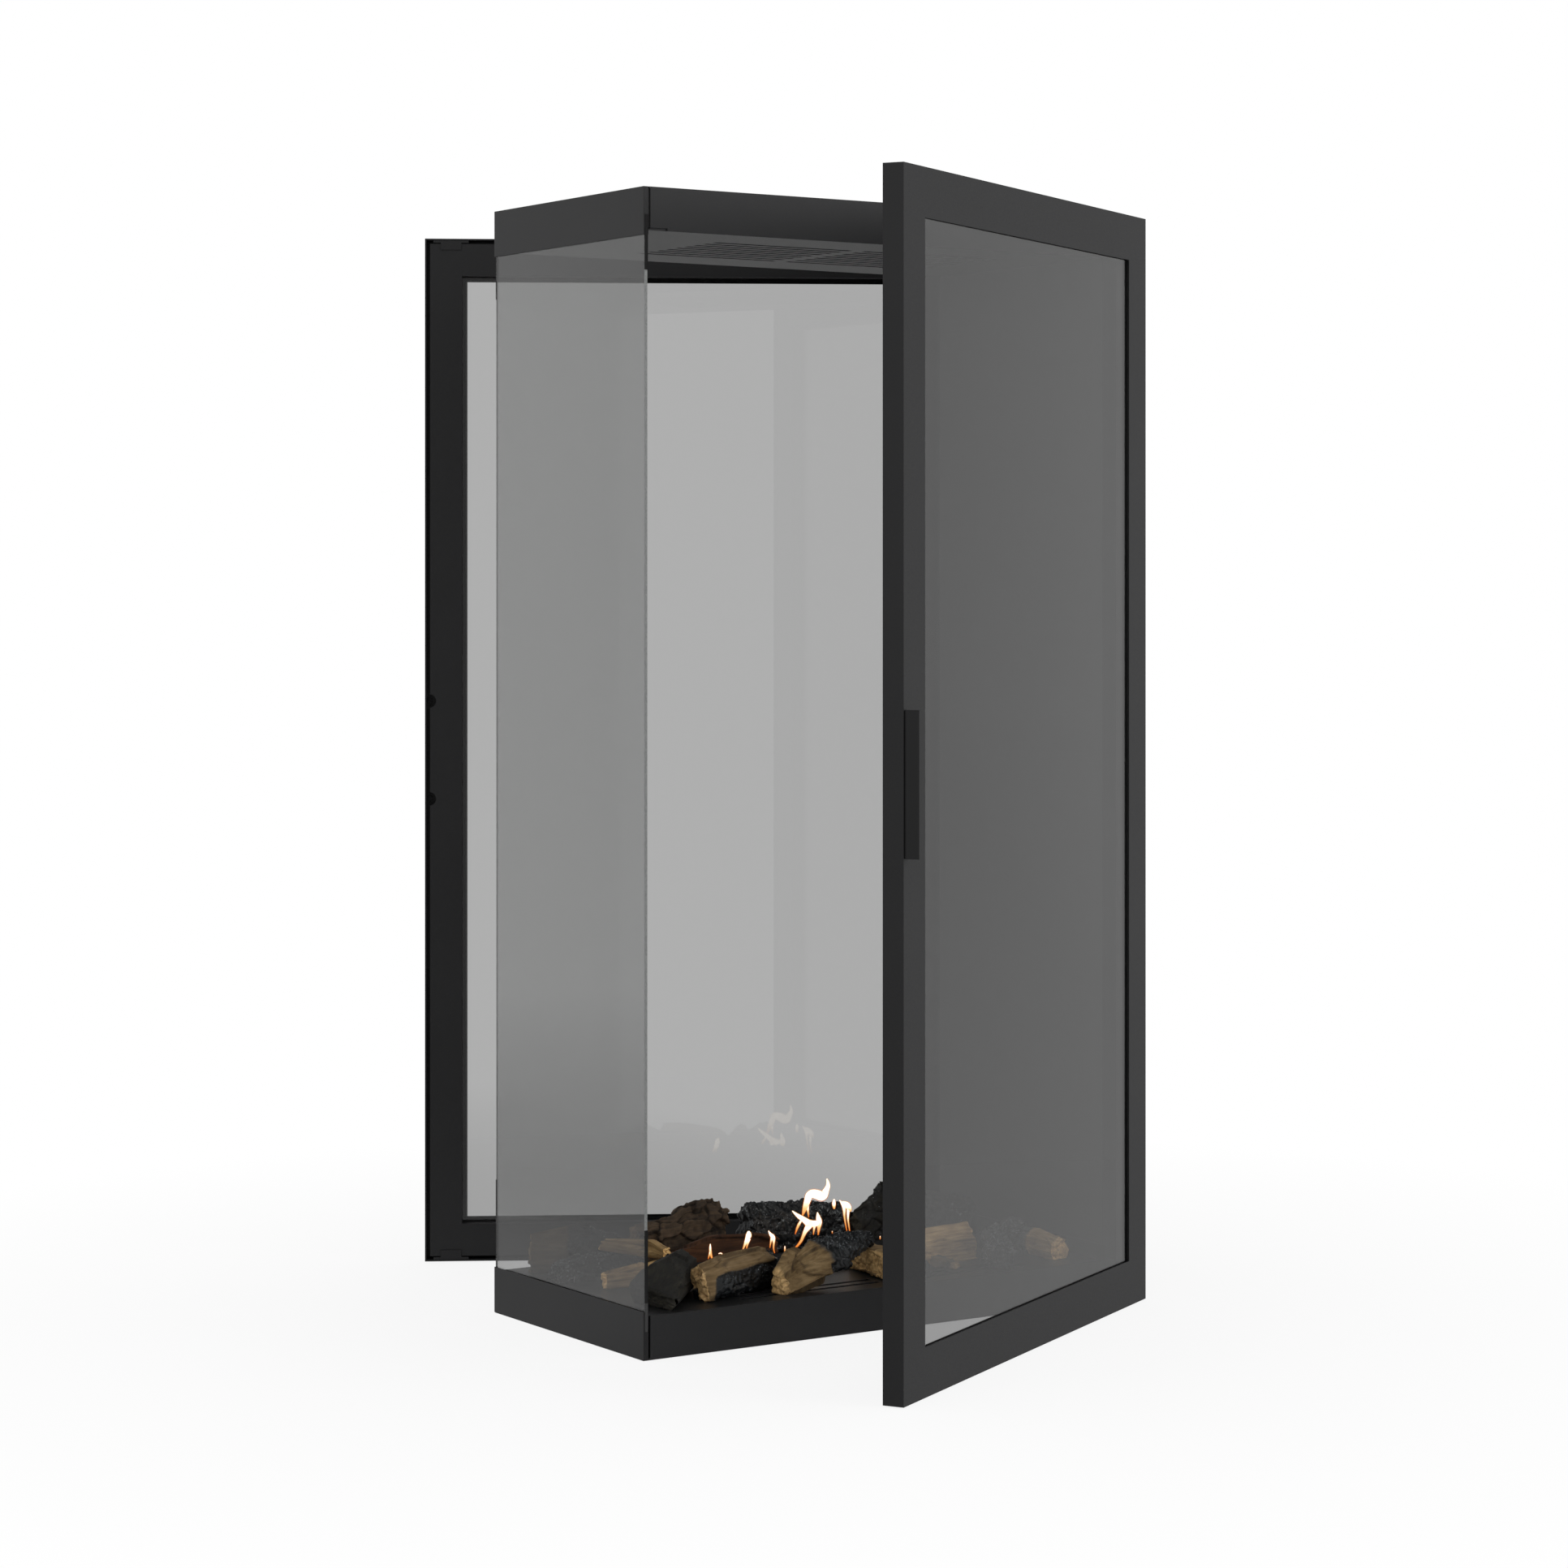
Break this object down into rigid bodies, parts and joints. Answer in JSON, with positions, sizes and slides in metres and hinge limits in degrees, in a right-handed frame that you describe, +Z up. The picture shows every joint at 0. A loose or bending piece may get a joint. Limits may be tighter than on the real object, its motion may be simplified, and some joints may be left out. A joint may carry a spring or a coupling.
{
  "type": "fireplace",
  "caption": "Free-standing tall case with glazed doors front and rear on one side's hinges, a fixed glass end, a linear ethanol burner and a set of ceramic logs.",
  "frame": {"origin": "middle of the case's base, on the floor", "axes": "+X along the front towards the hinge side, +Y from front to rear, +Z up"},
  "size_m": [0.715, 1.1202, 1.34],
  "materials": {
    "powder_coat": "fine-textured anthracite powder coat on folded sheet steel",
    "clear_glass": "clear toughened glass, slightly grey, polished edges",
    "gasket_tape": "black woven glass-fibre tape",
    "black_rubber": "matt black silicone strip",
    "grey_strip": "thin dark grey coated strip",
    "zinc_steel": "zinc-plated steel",
    "magnet": "nickel-plated magnet",
    "stainless_burner": "brushed stainless steel",
    "black_burner": "heat-proof matt black paint on steel",
    "ceramic_wool": "white ceramic fibre",
    "log_split_wood": "matt ceramic, coloured as pale split wood with grain",
    "log_bark": "matt ceramic, coloured as brown cracked bark",
    "log_half_charred": "matt ceramic, pale wood at one end and charred at the other",
    "log_charred": "matt ceramic, coloured as cracked charcoal with ash in the cracks",
    "flame": "ethanol flame, shown lit"
  },
  "bodies": {
    "root": {"base_pan": "powder_coat", "burner_cover": "black_burner", "burner_tank": "stainless_burner", "case_screws": "zinc_steel", "catch_magnets": "magnet", "ceiling_grille": "powder_coat", "ceramic_wool": "ceramic_wool", "end_glass": "clear_glass", "end_glass_buffer_front_foot": "black_rubber", "end_glass_buffer_front_top": "black_rubber", "end_glass_buffer_rear_foot": "black_rubber", "end_glass_buffer_rear_top": "black_rubber", "end_glass_foot_strip_front": "grey_strip", "end_glass_foot_strip_rear": "grey_strip", "end_glass_head_seal": "black_rubber", "end_glass_setting_blocks": "black_rubber", "floor_plate": "powder_coat", "front_hinge_arms": "zinc_steel", "head_pan": "powder_coat", "hinge_pins": "zinc_steel", "hinge_screws": "zinc_steel", "left_base_channel": "powder_coat", "left_head_channel": "powder_coat", "log_01_front_left_char": "log_charred", "log_02_front_half_char": "log_half_charred", "log_03_front_leaning": "log_split_wood", "log_04_front_slab": "log_split_wood", "log_05_rear_left_bark": "log_bark", "log_06_rear_middle_char": "log_charred", "log_07_middle_board": "log_split_wood", "log_08_rear_right_char": "log_charred", "log_09_front_split": "log_split_wood", "log_10_front_right_char": "log_charred", "log_11_front_right_light": "log_split_wood", "log_12_rear_left_half_char": "log_half_charred", "log_13_left_char": "log_charred", "log_14_left_stick": "log_split_wood", "log_15_left_floor_stick": "log_split_wood", "log_16_front_chip": "log_half_charred", "log_17_right_char_block": "log_charred", "rear_hinge_arms": "zinc_steel", "side_casing": "powder_coat", "side_liner": "powder_coat"},
    "front_door": {"front_door_frame": "powder_coat", "front_door_gasket": "gasket_tape", "front_door_glass": "clear_glass", "front_door_handle": "powder_coat", "front_door_handle_screws": "zinc_steel", "front_door_hinge_blocks": "zinc_steel", "front_door_retaining_frame": "powder_coat", "front_door_t_plates": "powder_coat"},
    "rear_door": {"rear_door_frame": "powder_coat", "rear_door_gasket": "gasket_tape", "rear_door_glass": "clear_glass", "rear_door_handle": "powder_coat", "rear_door_handle_screws": "zinc_steel", "rear_door_hinge_blocks": "zinc_steel", "rear_door_retaining_frame": "powder_coat", "rear_door_t_plates": "powder_coat"}
  },
  "joints": [
    {"name": "front_door_hinge", "type": "hinge", "parent": "root", "child": "front_door", "pos_m": [0.3435, -0.1915, 0.67], "axis": [0, 0, 1], "range_deg": [-29.6, 60.4]},
    {"name": "rear_door_hinge", "type": "hinge", "parent": "root", "child": "rear_door", "pos_m": [0.3435, 0.1915, 0.67], "axis": [0, 0, -1], "range_deg": [-29.6, 60.4]}
  ]
}
